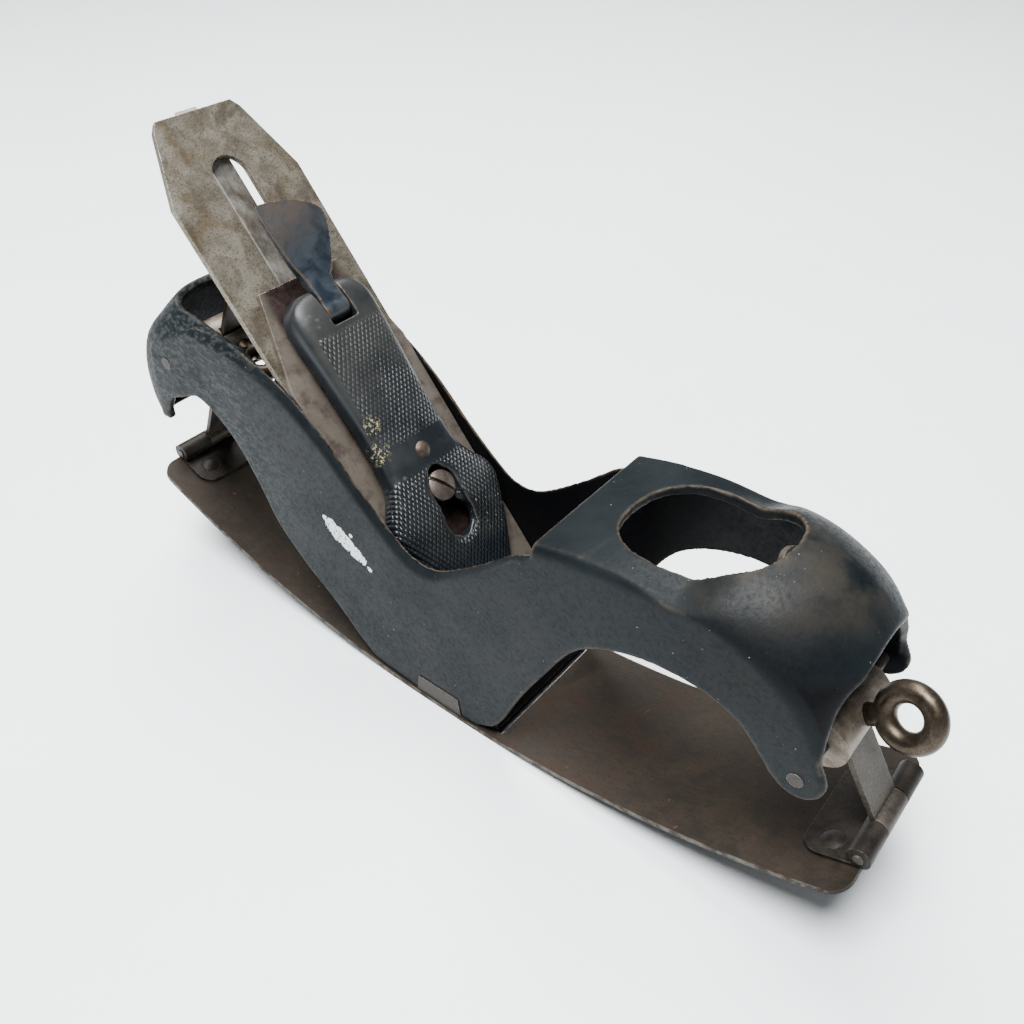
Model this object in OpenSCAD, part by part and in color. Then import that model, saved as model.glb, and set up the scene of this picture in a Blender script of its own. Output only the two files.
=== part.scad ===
// Compass (circular) plane with a flexible steel sole, set to a convex curve.
// Frame: +X towards the toe, +Y to the far side, +Z up. The origin is on the sole's
// lowest line, halfway across it. Millimetres.

/* [Sole] */
// Radius of the curve the sole is set to, at its bottom face
sole_radius = 304.8; // [280:0.1:340]
// Thickness of the spring-steel sole
sole_t = 1.2; // [1:0.1:1.6]
// Width of the sole (2 in)
sole_w = 50.8; // [50.6:0.1:52]
// Length along the curve from the middle to the toe
toe_arc = 130; // [129:0.5:132]
// Length along the curve from the middle to the heel
heel_arc = 136.5; // [136:0.5:138]
// Depth of the flat worn across the lowest line
wear_flat = 0.1; // [0.05:0.01:0.15]

/* [Casting] */
// Width over the two cheeks
body_w = 49.8; // [49.6:0.1:50.4]
// Thickness of each cheek
cheek_t = 2.4; // [2.2:0.1:2.4]
// Thickness of the hood and dome skins
skin_t = 3; // [2.5:0.1:3.2]
// Height of the crown of the front dome
dome_top = 98.6; // [97:0.1:100]

/* [Cutter and cap iron] */
// Width of the cutter (1 3/4 in)
cutter_w = 44.45; // [44:0.05:44.5]
// Distance from the mouth to the top of the cutter
cutter_l = 199; // [190:1:202]
// Thickness of the cutter
cutter_t = 2; // [1.8:0.1:2]
// Angle of the bed above the horizontal
bed_angle = 50; // [49:0.5:51]
// Where the cutter's front face meets the floor line
mouth_x = 21.6; // [21:0.1:22]

/* [Straps and clamps] */
// Width of the adjusting straps
strap_w = 12; // [11:0.1:12]
// Thickness of the adjusting straps
strap_t = 1.5; // [1.2:0.1:1.5]
// Length of the front strap from its hinge pin
front_strap_l = 75; // [72:1:76]
// Length of the rear strap from its hinge pin
rear_strap_l = 86; // [84:1:88]
// Radius of the clamp drums
drum_r = 6.8; // [6.6:0.1:7]
// Length of the clamp drums
drum_l = 24; // [22:1:26]
// Outer diameter of the front eye
eye_d = 17.6; // [16:0.1:18]
// Diameter of the eye's rod
eye_rod_d = 5.5; // [5:0.1:5.6]

/* [Hidden] */
$fn = 64;

// Colours
japan = [0.13, 0.15, 0.17];
black_japan = [0.07, 0.08, 0.09];
brown_steel = [0.27, 0.22, 0.18];
grey_steel = [0.48, 0.44, 0.38];
tan_steel = [0.55, 0.50, 0.42];

eps = 0.01;
run_fit = 0.05;    // radial clearance of turning pins
close_fit = 0.02;  // radial clearance of pins that stay put

// Casting
half_body = body_w / 2;
half_inner = half_body - cheek_t;
foot_rear_x = -23;
foot_front_x = 13;
foot_top_z = 13;
hood_corner_r = 10;
dome_corner_r = 9;
pivot_pin_r = 2;
pivot_pin_in = 7.5;  // how near the middle each stub pin reaches

// Sole circle and the places where it flexes
centre_z = sole_radius - wear_flat;
sole_top_r = sole_radius - sole_t;
front_flex = [36, 74, 112];
rear_flex = [42.5, 79.5, 116.5];
flex_gap = 0.25;
mouth_front = 0.7;
mouth_rear = 3;

// Hinges at the ends of the sole
knuckle_r = 3.1;
hinge_pin_r = 1.3;
hinge_plate_t = 1.1;
hinge_r = sole_top_r - knuckle_r;
toe_hinge_x = 124.5;
heel_hinge_x = 129.5;
toe_hinge_half_w = 16.2;
heel_hinge_half_w = 17;
toe_plate_l = 14;
heel_plate_l = 12.5;
toe_hinge = [toe_hinge_x, centre_z - sqrt(pow(hinge_r, 2) - pow(toe_hinge_x, 2))];
heel_hinge = [heel_hinge_x, centre_z - sqrt(pow(hinge_r, 2) - pow(heel_hinge_x, 2))];

// Drum axes. The rear values are measured towards the heel.
front_pivot = [107.7, 56.5];
rear_pivot = [110.5, 81];
// From each drum's axis to its strap's middle plane, towards the eye
front_strap_offset = 1.2;
rear_strap_offset = 2.5;
front_slot_play = 0.35;
rear_slot_play = 0.6;
eye_reach = 16.6;    // from the drum's axis to the centre of the eye
front_eye_turn = 25;
rear_eye_d = 15;
rear_eye_reach = 14.5;
rear_eye_turn = 90;

// The front eye faces outwards (side 1), the rear one inwards (side -1)
function strap_angle(hinge, pivot, side, offset) =
    let(d = pivot - hinge)
    atan2(d[1], d[0]) - side * asin(offset / norm(d));
front_strap_a = strap_angle(toe_hinge, front_pivot, 1, front_strap_offset);
rear_strap_a = strap_angle(heel_hinge, rear_pivot, -1, rear_strap_offset);

// Key between the sole and the casting
key_x = [-10.6, 7.6];
key_top_z = 8;
key_dovetail = 1.2;

// Rivets through the sole
rivet_r = 1.8;
key_rivets = [[-1.5, -15], [-1.5, 15]];
toe_rivets = [[117, -11], [117, 11]];
heel_rivets = [[-122.6, -10.5], [-122.6, 10.5]];
corner_r = 6;  // corners of the sole's ends

// Frog screws
frog_screw_x = -16;
frog_screw_y = 6.5;
frog_screw_r = 1.7;
frog_seat_z = 18;

// Along the bed: distances up from the mouth, heights above the cutter's front face
frog_t = 4;
frog_gap = 0.15;
frog_half_w = 21.8;
frog_top = 130;
frog_slot = [86, 131];
frog_slot_half_w = 8.4;
cutter_edge = 1.4;
cutter_shoulder = 176;
cutter_top_half_w = 14.7;
cutter_slot = [50, 185];
cutter_slot_half_w = 5.7;
cap_iron_t = 2;
cap_iron_top = 146;
cap_iron_shoulder = 118;
cap_iron_edge = 3;
cap_screw_at = 118;
cap_screw_head_r = 6.2;
lever_pivot = [96, -9];
lever_pin_r = 1.5;
lever_bar_half_w = 3.6;
lever_bar_t = 2;
lever_bar_top = 201;
screw_at = 74;
keyhole_at = 63.5;
keyhole_r = 5.4;
screw_head_r = 4.6;
screw_head_z = [8, 11];
rivet_at = 86;
cam_pivot = [133, 7.4];
cam_pin_r = 1.2;
cam_slot_half_w = 4.5;
cam_slot_bottom = 128.3;
cap_top = 140;
cap_h = 10.4;
cap_floor = 2.1;  // where the lever cap rests above the cutter's face

// --- Shapes used by several pieces ---

function arc(c, r, a0, a1, n = 8) =
    [for (i = [0 : n]) let(a = a0 + (a1 - a0) * i / n) [c[0] + r * cos(a), c[1] + r * sin(a)]];

// Catmull-Rom curve through points p
function spline_point(a, b, c, d, t) =
    0.5 * (2 * b + (c - a) * t + (2 * a - 5 * b + 4 * c - d) * t * t
        + (3 * b - a - 3 * c + d) * t * t * t);
function spline(p, n = 4) =
    let(m = len(p) - 1)
    concat(
        [for (i = [0 : m - 1], k = [0 : n - 1])
            spline_point(p[max(i - 1, 0)], p[i], p[i + 1], p[min(i + 2, m)], k / n)],
        [p[m]]
    );

// Extrude an outline drawn in X and Z to a width centred on y
module across(w, y = 0) {
    translate([0, y + w / 2, 0]) rotate([90, 0, 0]) linear_extrude(height = w) children();
}

// A round bar along Y
module bar_y(r, w, y = 0) {
    translate([0, y + w / 2, 0]) rotate([90, 0, 0]) cylinder(r = r, h = w);
}

// Everything inside a circle round the sole's centre of curvature
module inside_sole(r, w = 60) {
    translate([0, 0, centre_z]) bar_y(r, w, 0, $fn = 1200);
}

// Bed frame: -X up the cutter from the mouth, Y across, Z out of its front face
module on_bed() {
    translate([mouth_x, 0, 0]) rotate([0, bed_angle, 0]) children();
}

// A plate on the bed, its half outline given as [distance up the bed, half width]
function both_sides(half) =
    concat(
        [for (q = half) [-q[0], q[1]]],
        [for (i = [len(half) - 1 : -1 : 0]) [-half[i][0], -half[i][1]]]
    );
module bed_plate(half, z0, z1) {
    translate([0, 0, z0]) linear_extrude(height = z1 - z0) polygon(both_sides(half));
}
module bed_slot(e0, e1, half_w, z0, z1) {
    translate([0, 0, z0]) linear_extrude(height = z1 - z0) {
        translate([-e1 + half_w, -half_w]) square([e1 - e0 - 2 * half_w, 2 * half_w]);
        translate([-e0 - half_w, 0]) circle(r = half_w);
        translate([-e1 + half_w, 0]) circle(r = half_w);
    }
}
// A profile in the bed frame's X and Z, given as [distance up the bed, height]
module bed_profile(points, half_w) {
    across(2 * half_w) polygon([for (q = points) [-q[0], q[1]]]);
}
module bed_bar(at, r, half_w) {
    translate([-at[0], 0, at[1]]) bar_y(r, 2 * half_w);
}

// --- Casting ---

// Side view of one cheek
function cheek_top() = spline([
    [-117, 88], [-108, 93.5], [-99, 97.6], [-89, 99.4], [-76, 98.4], [-64, 94.9], [-52, 89.4],
    [-41.6, 82], [-27.6, 69], [-19, 61.4], [-11, 56.8], [-4, 55.6], [3, 58], [16.5, 68.4],
    [27, 78.2], [34, 82.6], [44, 85], [60, 87.2], [76, 88.2], [87, 86.8], [97, 81.6],
    [104.5, 75.5], [110.5, 68]
]);
function cheek_bottom() = spline([
    [101.6, 53.6], [97.5, 60], [92, 66.6], [84, 70], [74, 70.6], [64, 68.8], [54, 64.2],
    [46, 56.2], [38, 41.6], [30, 26], [23.4, 11], [20, 5.2]
]);
function cheek_bottom_rear() = spline([
    [-29, 2.6], [-35, 8], [-46, 18.6], [-58, 28], [-68, 39], [-73.5, 50], [-80, 61],
    [-87, 68.4], [-96, 73.2], [-104, 73]
]);
function cheek_outline() = concat(
    cheek_top(),
    arc([107.7, 57.4], 6.7, 22, -140, 10),
    cheek_bottom(),
    [[foot_front_x, 0], [foot_rear_x, 0]],
    cheek_bottom_rear(),
    horn_notch()
);
function horn_notch() = spline([[-110, 69.8], [-114, 65.4], [-117.4, 59.6], [-121, 57]], 3);

// Side view of the hood that joins the cheeks at the heel
function hood_side() = concat(
    spline([[-92, 98.9], [-104, 99.6], [-114, 98.2], [-122, 93], [-127, 84], [-129, 73],
        [-127.6, 63], [-124.4, 57.8], [-121, 57]]),
    [[-112, 68], [-92, 74]]
);
function hood_inside() = concat(
    spline([[-126, 73], [-124.2, 64], [-119, 50]]),
    [[-80, 50], [-80, 92], [-104, 95.5]],
    spline([[-112, 94.8], [-119.4, 90.6], [-124, 83], [-126, 73]])
);
// Side view of the front dome
function dome_side(inset) = concat(
    spline([[32.5, 83.6 - inset], [46, 87.6 - inset], [60, 92.8 - inset], [74, 97 - inset],
        [86, dome_top - inset], [97, 96.6 - inset], [105, 92.4 - inset], [110.4, 87.4 - inset]]),
    [[113.6, 83 - inset], [113.6, 66 - inset], [32.5, 66 - inset]]
);
// Front view of the dome, its shoulders rounded by an ellipse
function dome_front(inset) =
    let(w = half_body - inset, top = dome_top - inset, side = 80)
    concat(
        [[w, 30], [w, side]],
        [for (a = [10 : 10 : 170]) [w * cos(a), side + (top + 5 - side) * sin(a)]],
        [[-w, side], [-w, 30]]
    );

module dome_form(inset, front_x) {
    intersection() {
        across(2 * half_body + 2) polygon(dome_side(inset));
        translate([0, 0, 30]) linear_extrude(height = 80)
            polygon(concat(
                [[32.5 - eps, -half_body + inset]],
                arc([front_x - dome_corner_r, -half_body + inset + dome_corner_r], dome_corner_r, -90, 0, 6),
                arc([front_x - dome_corner_r, half_body - inset - dome_corner_r], dome_corner_r, 0, 90, 6),
                [[32.5 - eps, half_body - inset]]
            ));
        translate([120, 0, 0]) rotate([90, 0, -90]) linear_extrude(height = 100)
            polygon(dome_front(inset));
    }
}

module dome_hollow() {
    dome_form(skin_t, 113.6 - eps);
    // the open arch at the front
    intersection() {
        across(2 * half_inner) polygon([[36, 30], [125, 30], [125, 83.4], [104, 84], [36, 79.5]]);
        translate([125, 0, 0]) rotate([90, 0, -90]) linear_extrude(height = 89)
            polygon(concat(
                [[half_inner - 4, 30]],
                [for (a = [0 : 12 : 180]) [(half_inner - 4) * cos(a), 66 + 17.4 * sin(a)]],
                [[-half_inner + 4, 30]]
            ));
    }
}

// The teardrop opening in the top of the dome
module dome_opening() {
    translate([0, 0, 75]) linear_extrude(height = 40) {
        translate([60, 0]) circle(r = 14);
        translate([76.5, 0]) circle(r = 10.8);
        polygon([[62.7, 13.7], [78.6, 10.6], [78.6, -10.6], [62.7, -13.7]]);
    }
}

module plan_rounded_rear(inset) {
    translate([0, 0, 40]) linear_extrude(height = 80)
        polygon(concat(
            [[-70, half_body - inset]],
            arc([-129 + inset + hood_corner_r, half_body - inset - hood_corner_r], hood_corner_r, 90, 180, 6),
            arc([-129 + inset + hood_corner_r, -half_body + inset + hood_corner_r], hood_corner_r, 180, 270, 6),
            [[-70, -half_body + inset]]
        ));
}

module hood() {
    difference() {
        intersection() {
            across(body_w) polygon(hood_side());
            plan_rounded_rear(0);
        }
        intersection() {
            across(2 * half_inner) polygon(hood_inside());
            plan_rounded_rear(skin_t);
        }
        // open above, in front of the strap
        translate([-98, 0, 85]) cylinder(r = 19.5, h = 30);
        translate([-98, -half_inner, 85]) cube([30, 2 * half_inner, 30]);
    }
}

module key_profile(play) {
    polygon([
        [key_x[0] - play, 0], [key_x[1] + play, 0],
        [key_x[1] + play - key_dovetail, key_top_z + play],
        [key_x[0] - play + key_dovetail, key_top_z + play]
    ]);
}

// Cross member between the cheeks, which holds the key and carries the frog
module foot() {
    difference() {
        across(2 * half_inner + 2 * eps)
            polygon([[foot_rear_x, 0], [mouth_x, 0], [mouth_x, foot_top_z], [foot_rear_x, foot_top_z]]);
        // its front follows the back of the frog
        on_bed() translate([-30, -30, -frog_t - cutter_t - 2 * frog_gap]) cube([60, 60, 40]);
    }
}

module body_casting() {
    color(japan)
    difference() {
        intersection() {
            union() {
                for (side = [-1, 1])
                    across(cheek_t, side * (half_body - cheek_t / 2)) polygon(cheek_outline());
                hood();
                difference() {
                    dome_form(0, 113.6);
                    dome_hollow();
                    dome_opening();
                }
                foot();
            }
            inside_sole(sole_top_r);
        }
        across(body_w + 2) key_profile(0.05);
        for (x = [-1, 1]) {
            pivot = (x > 0) ? front_pivot : rear_pivot;
            translate([x * pivot[0], 0, pivot[1]]) bar_y(pivot_pin_r + close_fit, body_w + 2);
        }
        for (y = [-frog_screw_y, frog_screw_y])
            translate([frog_screw_x, y, 4.9]) cylinder(r = frog_screw_r, h = 10);
    }
}

// --- Frog, a casting that carries the cutter ---

module frog_ribs() {
    for (y = [-13, 13])
        across(4, y) polygon([[-22, foot_top_z + eps], [2, foot_top_z + eps], [-42.5, 67.5], [-47, 66],
            [-38, 40], [-26, 20]]);
}

module frog() {
    back = -cutter_t - frog_gap - frog_t;
    color(black_japan) difference() {
        intersection() {
            union() {
                on_bed() bed_plate([[0, frog_half_w], [frog_top - 8, frog_half_w], [frog_top, frog_half_w - 6]],
                    back, back + frog_t);
                frog_ribs();
                across(2 * frog_half_w - 8)
                    polygon([[-22, foot_top_z + eps], [2, foot_top_z + eps], [-1, frog_seat_z], [-22, frog_seat_z]]);
                // lugs for the adjusting lever's pin
                on_bed() for (y = [-10.4, 10.4])
                    translate([0, y, 0]) bed_profile([[88, back + 1], [104, back + 1], [99, -12], [93, -12]], 1.9);
            }
            inside_sole(sole_top_r - 0.3);
        }
        on_bed() {
            bed_slot(frog_slot[0], frog_slot[1] + 12, frog_slot_half_w, -16, 0);
            bed_bar(lever_pivot, lever_pin_r + close_fit, 16);
            translate([-screw_at, 0, -8]) cylinder(r = 3 + run_fit, h = 10);
        }
        for (y = [-frog_screw_y, frog_screw_y])
            translate([frog_screw_x, y, 0]) cylinder(r = frog_screw_r, h = frog_seat_z + 1);
    }
}

module frog_screws() {
    color(grey_steel)
    for (y = [-frog_screw_y, frog_screw_y])
        translate([frog_screw_x, y, 0]) difference() {
            union() {
                translate([0, 0, 5]) cylinder(r = frog_screw_r - close_fit, h = frog_seat_z - 5 + eps);
                translate([0, 0, frog_seat_z]) cylinder(r = 3.5, h = 2.2);
            }
            translate([-4, -0.5, frog_seat_z + 1.2]) cube([8, 1, 2]);
        }
}

// --- Sole ---

// A stretch of the sole between two distances along the curve, positive towards the toe
module sole_stretch(from, to) {
    a0 = -90 + from / sole_radius * 180 / PI;
    a1 = -90 + to / sole_radius * 180 / PI;
    far = sole_radius + 10;
    intersection() {
        difference() {
            inside_sole(sole_radius, sole_w);
            inside_sole(sole_top_r, sole_w + 2);
            translate([-20, -40, -10]) cube([40, 80, 10]);  // worn flat
        }
        translate([0, 0, centre_z]) across(sole_w + 2)
            polygon([[0, 0], [far * cos(a0), far * sin(a0)], [far * cos(a1), far * sin(a1)]]);
    }
}

// What rounding takes off the corners of one end
module corner_cut(end, direction) {
    x_end = sole_radius * sin(end / sole_radius * 180 / PI);
    scale_x = direction > 0 ? 0 : 1;
    for (side = [0, 1])
        mirror([scale_x, 0, 0]) mirror([0, side, 0]) difference() {
            translate([x_end - corner_r, sole_w / 2 - corner_r, 10]) cube([corner_r + 1, corner_r + 1, 40]);
            translate([x_end - corner_r, sole_w / 2 - corner_r, 0]) cylinder(r = corner_r, h = 60);
        }
}

module flex_part(marks, i, end, direction) {
    from = marks[i] + flex_gap / 2;
    to = (i < len(marks) - 1) ? marks[i + 1] - flex_gap / 2 : end;
    if (direction > 0) sole_stretch(from, to);
    else sole_stretch(-to, -from);
}

module at_each(places) {
    for (q = places) translate([q[0], q[1], 0]) children();
}

module sole_centre() {
    color(brown_steel)
    difference() {
        sole_stretch(-rear_flex[0] + flex_gap / 2, front_flex[0] - flex_gap / 2);
        on_bed() translate([-20, -half_inner + 0.1, -mouth_rear])
            cube([40, 2 * half_inner - 0.2, mouth_rear + mouth_front]);
        at_each(key_rivets) translate([0, 0, -5]) cylinder(r = rivet_r + close_fit, h = 20);
    }
}
module sole_front_1() {
    color(brown_steel) flex_part(front_flex, 0, toe_arc, 1);
}
module sole_front_2() {
    color(brown_steel) flex_part(front_flex, 1, toe_arc, 1);
}
module sole_front_3() {
    color(brown_steel) difference() {
        flex_part(front_flex, 2, toe_arc, 1);
        at_each(toe_rivets) cylinder(r = rivet_r + close_fit, h = 60);
        corner_cut(toe_arc, 1);
    }
}
module sole_rear_1() {
    color(brown_steel) flex_part(rear_flex, 0, heel_arc, -1);
}
module sole_rear_2() {
    color(brown_steel) flex_part(rear_flex, 1, heel_arc, -1);
}
module sole_rear_3() {
    color(brown_steel) difference() {
        flex_part(rear_flex, 2, heel_arc, -1);
        at_each(heel_rivets) cylinder(r = rivet_r + close_fit, h = 60);
        corner_cut(heel_arc, -1);
    }
}

// Steel key riveted across the sole, its ends flush with the cheeks
module sole_key() {
    color(grey_steel) difference() {
        intersection() {
            across(body_w) key_profile(0);
            inside_sole(sole_top_r);
        }
        at_each(key_rivets) translate([0, 0, -5]) cylinder(r = rivet_r + close_fit, h = 20);
    }
}
module sole_key_rivets() {
    color(grey_steel) at_each(key_rivets) cylinder(r = rivet_r, h = key_top_z);
}

// --- Hinges at the ends of the sole. Rear pieces are drawn at +X and mirrored. ---

module hinge_plate(hinge, half_w, plate_l, places) {
    difference() {
        union() {
            intersection() {
                difference() {
                    inside_sole(sole_top_r);
                    inside_sole(sole_top_r - hinge_plate_t);
                }
                linear_extrude(height = 60) plate_plan(hinge[0], half_w, plate_l);
            }
            translate([hinge[0], 0, hinge[1]]) bar_y(knuckle_r, 2 * half_w);
        }
        translate([hinge[0], 0, hinge[1]]) {
            bar_y(hinge_pin_r + close_fit, 2 * half_w + 2);
            bar_y(knuckle_r + 0.5, strap_w + 0.6);
        }
        at_each(places) cylinder(r = rivet_r + close_fit, h = 60);
    }
}

// Plan of a hinge plate: inner corners rounded
module plate_plan(x_hinge, half_w, plate_l) {
    r = 5;
    x0 = x_hinge - plate_l;
    translate([x0 + r, -half_w]) square([plate_l - r, 2 * half_w]);
    translate([x0, -half_w + r]) square([r + 1, 2 * (half_w - r)]);
    for (side = [-1, 1]) translate([x0 + r, side * (half_w - r)]) circle(r = r);
}

module hinge_pin(hinge, half_w) {
    translate([hinge[0], 0, hinge[1]]) bar_y(hinge_pin_r, 2 * half_w + 0.8);
}

// Flush below, with low round heads on the hinge plate
module hinge_rivets(places) {
    intersection() {
        at_each(places) cylinder(r = rivet_r, h = 60);
        difference() {
            inside_sole(sole_radius);
            inside_sole(sole_top_r - hinge_plate_t - 0.3);
        }
    }
    for (q = places) {
        x = abs(q[0]);
        r = sole_top_r - hinge_plate_t;
        slope = asin(x / r);
        translate([q[0], q[1], centre_z - r * cos(slope)])
            rotate([0, -slope * sign(q[0]), 0]) intersection() {
                translate([0, 0, 0.03]) cylinder(r = 3.2, h = 2);
                translate([0, 0, -4.8]) sphere(r = 5.8);
            }
    }
}

module toe_hinge_plate() {
    color(brown_steel) hinge_plate(toe_hinge, toe_hinge_half_w, toe_plate_l, toe_rivets);
}
module toe_hinge_pin() {
    color(grey_steel) hinge_pin(toe_hinge, toe_hinge_half_w);
}
module toe_hinge_rivets() {
    color(brown_steel) hinge_rivets(toe_rivets);
}
module heel_hinge_plate() {
    color(brown_steel) mirror([1, 0, 0])
        hinge_plate(heel_hinge, heel_hinge_half_w, heel_plate_l, [for (q = heel_rivets) [-q[0], q[1]]]);
}
module heel_hinge_pin() {
    color(grey_steel) mirror([1, 0, 0]) hinge_pin(heel_hinge, heel_hinge_half_w);
}
module heel_hinge_rivets() {
    color(brown_steel) hinge_rivets(heel_rivets);
}

// --- Straps, drums and eye screws ---

// A strap stands on its hinge pin and leans at angle a above +X
module strap(hinge, a, length) {
    translate([hinge[0], 0, hinge[1]]) difference() {
        union() {
            bar_y(knuckle_r, strap_w - 0.2);
            rotate([0, -a, 0]) strap_blade(length);
        }
        bar_y(hinge_pin_r + run_fit, strap_w + 2);
    }
}
// Blade along +X, flat in X and Y, with a round end
module strap_blade(length) {
    r = strap_w / 2;
    root = (hinge_pin_r + knuckle_r) / 2;
    translate([root, -r, -strap_t / 2]) cube([length - r - root, strap_w, strap_t]);
    translate([length - r, 0, -strap_t / 2]) cylinder(r = r, h = strap_t);
}

// Frame of a drum: +X runs up the strap and -Z faces the eye
module on_drum(pivot, a, side) {
    translate([pivot[0], 0, pivot[1]]) rotate([0, -a, 0]) mirror([0, 0, side < 0 ? 1 : 0]) children();
}

module drum(pivot, a, side, offset, play) {
    on_drum(pivot, a, side) difference() {
        bar_y(drum_r, drum_l);
        translate([-20, -strap_w / 2 - 0.4, -offset - strap_t / 2 - play])
            cube([40, strap_w + 0.8, strap_t + 2 * play]);
        for (end = [-1, 1])
            bar_y(pivot_pin_r + run_fit, 10, end * (pivot_pin_in + 4.8));
        translate([0, 0, -20]) cylinder(r = eye_rod_d / 2 + run_fit, h = 20 - offset);
    }
}

module eye_screw(pivot, a, side, offset, play, outer_d, reach, turn) {
    ring_r = (outer_d - eye_rod_d) / 2;
    tip = offset + strap_t / 2 + play;
    on_drum(pivot, a, side) {
        translate([0, 0, -reach + ring_r]) cylinder(r = eye_rod_d / 2, h = reach - ring_r - tip);
        translate([0, 0, -reach]) rotate([90, 0, turn])
            rotate_extrude() translate([ring_r, 0]) circle(r = eye_rod_d / 2);
    }
}

// Stub pins through the cheeks into the ends of a drum
module pivot_pins(pivot) {
    l = half_body - pivot_pin_in;
    for (end = [-1, 1])
        translate([pivot[0], 0, pivot[1]]) bar_y(pivot_pin_r, l, end * (pivot_pin_in + l / 2));
}

module front_strap() {
    color(brown_steel) strap(toe_hinge, front_strap_a, front_strap_l);
}
module front_drum() {
    color(tan_steel) drum(front_pivot, front_strap_a, 1, front_strap_offset, front_slot_play);
}
module front_eye_screw() {
    color(tan_steel) eye_screw(front_pivot, front_strap_a, 1, front_strap_offset, front_slot_play,
        eye_d, eye_reach, front_eye_turn);
}
module front_pivot_pins() {
    color(grey_steel) pivot_pins(front_pivot);
}
module rear_strap() {
    color(brown_steel) mirror([1, 0, 0]) strap(heel_hinge, rear_strap_a, rear_strap_l);
}
module rear_drum() {
    color(tan_steel) mirror([1, 0, 0]) drum(rear_pivot, rear_strap_a, -1, rear_strap_offset, rear_slot_play);
}
module rear_eye_screw() {
    color(tan_steel) mirror([1, 0, 0])
        eye_screw(rear_pivot, rear_strap_a, -1, rear_strap_offset, rear_slot_play,
            rear_eye_d, rear_eye_reach, rear_eye_turn);
}
module rear_pivot_pins() {
    color(grey_steel) mirror([1, 0, 0]) pivot_pins(rear_pivot);
}

// --- Cutter and cap iron ---

module cutter() {
    color(tan_steel) on_bed() difference() {
        bed_plate([[cutter_edge, cutter_w / 2], [cutter_shoulder, cutter_w / 2],
            [cutter_l - 2.5, cutter_top_half_w], [cutter_l, cutter_top_half_w - 2]], -cutter_t, 0);
        bed_slot(cutter_slot[0], cutter_slot[1], cutter_slot_half_w, -cutter_t - 1, 1);
        // bevel on the back
        bed_profile([[cutter_edge, 0], [cutter_edge + 4.3, -cutter_t - eps], [0, -cutter_t - eps], [0, 0]], 30);
    }
}

module cap_iron() {
    color(brown_steel) on_bed() difference() {
        bed_plate([[cap_iron_edge, cutter_w / 2], [cap_iron_shoulder, cutter_w / 2],
            [cap_iron_top, cutter_top_half_w]], 0, cap_iron_t);
        bed_profile([[cap_iron_edge - 1, 0.3], [cap_iron_edge + 5, cap_iron_t + eps],
            [cap_iron_edge - 1, cap_iron_t + eps]], 30);
        bed_slot(screw_at - 6, screw_at + 6, 3.9, -1, cap_iron_t + 1);
        translate([-cap_screw_at, 0, -1]) cylinder(r = 3, h = 5);
        translate([-lever_pivot[0] - 3, -3.4, -1]) cube([6, 6.8, cap_iron_t + 2]);
    }
}

module cap_iron_screw() {
    color(grey_steel) on_bed() translate([-cap_screw_at, 0, 0]) difference() {
        union() {
            translate([0, 0, -cutter_t]) cylinder(r = 3 - close_fit, h = cutter_t + cap_iron_t);
            translate([0, 0, -cutter_t - 3]) cylinder(r = cap_screw_head_r, h = 3);
        }
        translate([-10, -0.7, -cutter_t - 4]) cube([20, 1.4, 2.5]);
    }
}

// --- Depth adjustment ---

module adjusting_lever() {
    h = lever_pivot[1];
    front = -cutter_t - 0.4;
    back = -cutter_t - 3.8;
    color(grey_steel) on_bed() difference() {
        union() {
            bed_bar(lever_pivot, 3.8, 5);
            bed_profile([[98, back], [131, back], [136, front], [lever_bar_top - 3, front],
                [lever_bar_top, front - 1], [lever_bar_top - 3, front - lever_bar_t],
                [137, front - lever_bar_t], [132, back - lever_bar_t], [97, back - lever_bar_t - 2]],
                lever_bar_half_w);
            bed_profile([[93.9, h], [93.9, 0.6], [94.9, 1.5], [97.1, 1.5], [98.1, 0.6], [98.1, h]], 2.6);
        }
        bed_bar(lever_pivot, lever_pin_r + run_fit, 6);
    }
}
module adjusting_lever_pin() {
    color(grey_steel) on_bed() bed_bar(lever_pivot, lever_pin_r, 12.3);
}

// --- Lever cap ---

function lever_cap_half() = concat(
    [[38, 0]],
    spline([[38, 8], [40, 12], [54, 17.4], [64, 21], [68.5, 21.8], [73, 20.6], [78, 16.8], [83, 14.4],
        [92, 13.6], [106, 13.7], [124, 14.4], [133, 14.6], [138, 12.8], [cap_top, 9]], 3),
    [[cap_top, 0]]
);
module lever_cap() {
    color(black_japan) on_bed() difference() {
        intersection() {
            bed_plate(lever_cap_half(), cap_floor, cap_h + 1);
            bed_profile([[37, cap_floor], [45, cap_floor], [60, 3.6], [cap_top + 1, 3.6], [cap_top + 1, 8],
                [136, cap_h], [84, cap_h], [70, 9.6], [56, 7.4], [44, 4.6], [37, 3.2]], 30);
        }
        // hollow underneath
        intersection() {
            bed_plate([[52, 11], [66, 17], [72, 16.6], [80, 12], [92, 11], [132, 11.8], [136, 9]], 0, cap_h);
            bed_profile([[50, 2], [58, 5], [66, 5.8], [80, 5.8], [82, 7.6], [140, 7.6], [140, 2]], 30);
        }
        // keyhole, with a seat for the screw's head
        translate([-keyhole_at, 0, 0]) cylinder(r = keyhole_r, h = 20);
        bed_slot(keyhole_at - 3, screw_at + 3.3, 3.3, 0, 20);
        bed_slot(keyhole_at - 5, screw_at + 5, 5, screw_head_z[0] - 0.1, 20);
        // slot and bore for the cam
        translate([-cap_top - 2, -cam_slot_half_w, 0])
            cube([cap_top + 2 - cam_slot_bottom, 2 * cam_slot_half_w, 20]);
        bed_bar(cam_pivot, cam_pin_r + close_fit, 20);
        translate([-rivet_at, 0, 0]) cylinder(r = 1.5 + close_fit, h = 20);
    }
}

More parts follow.
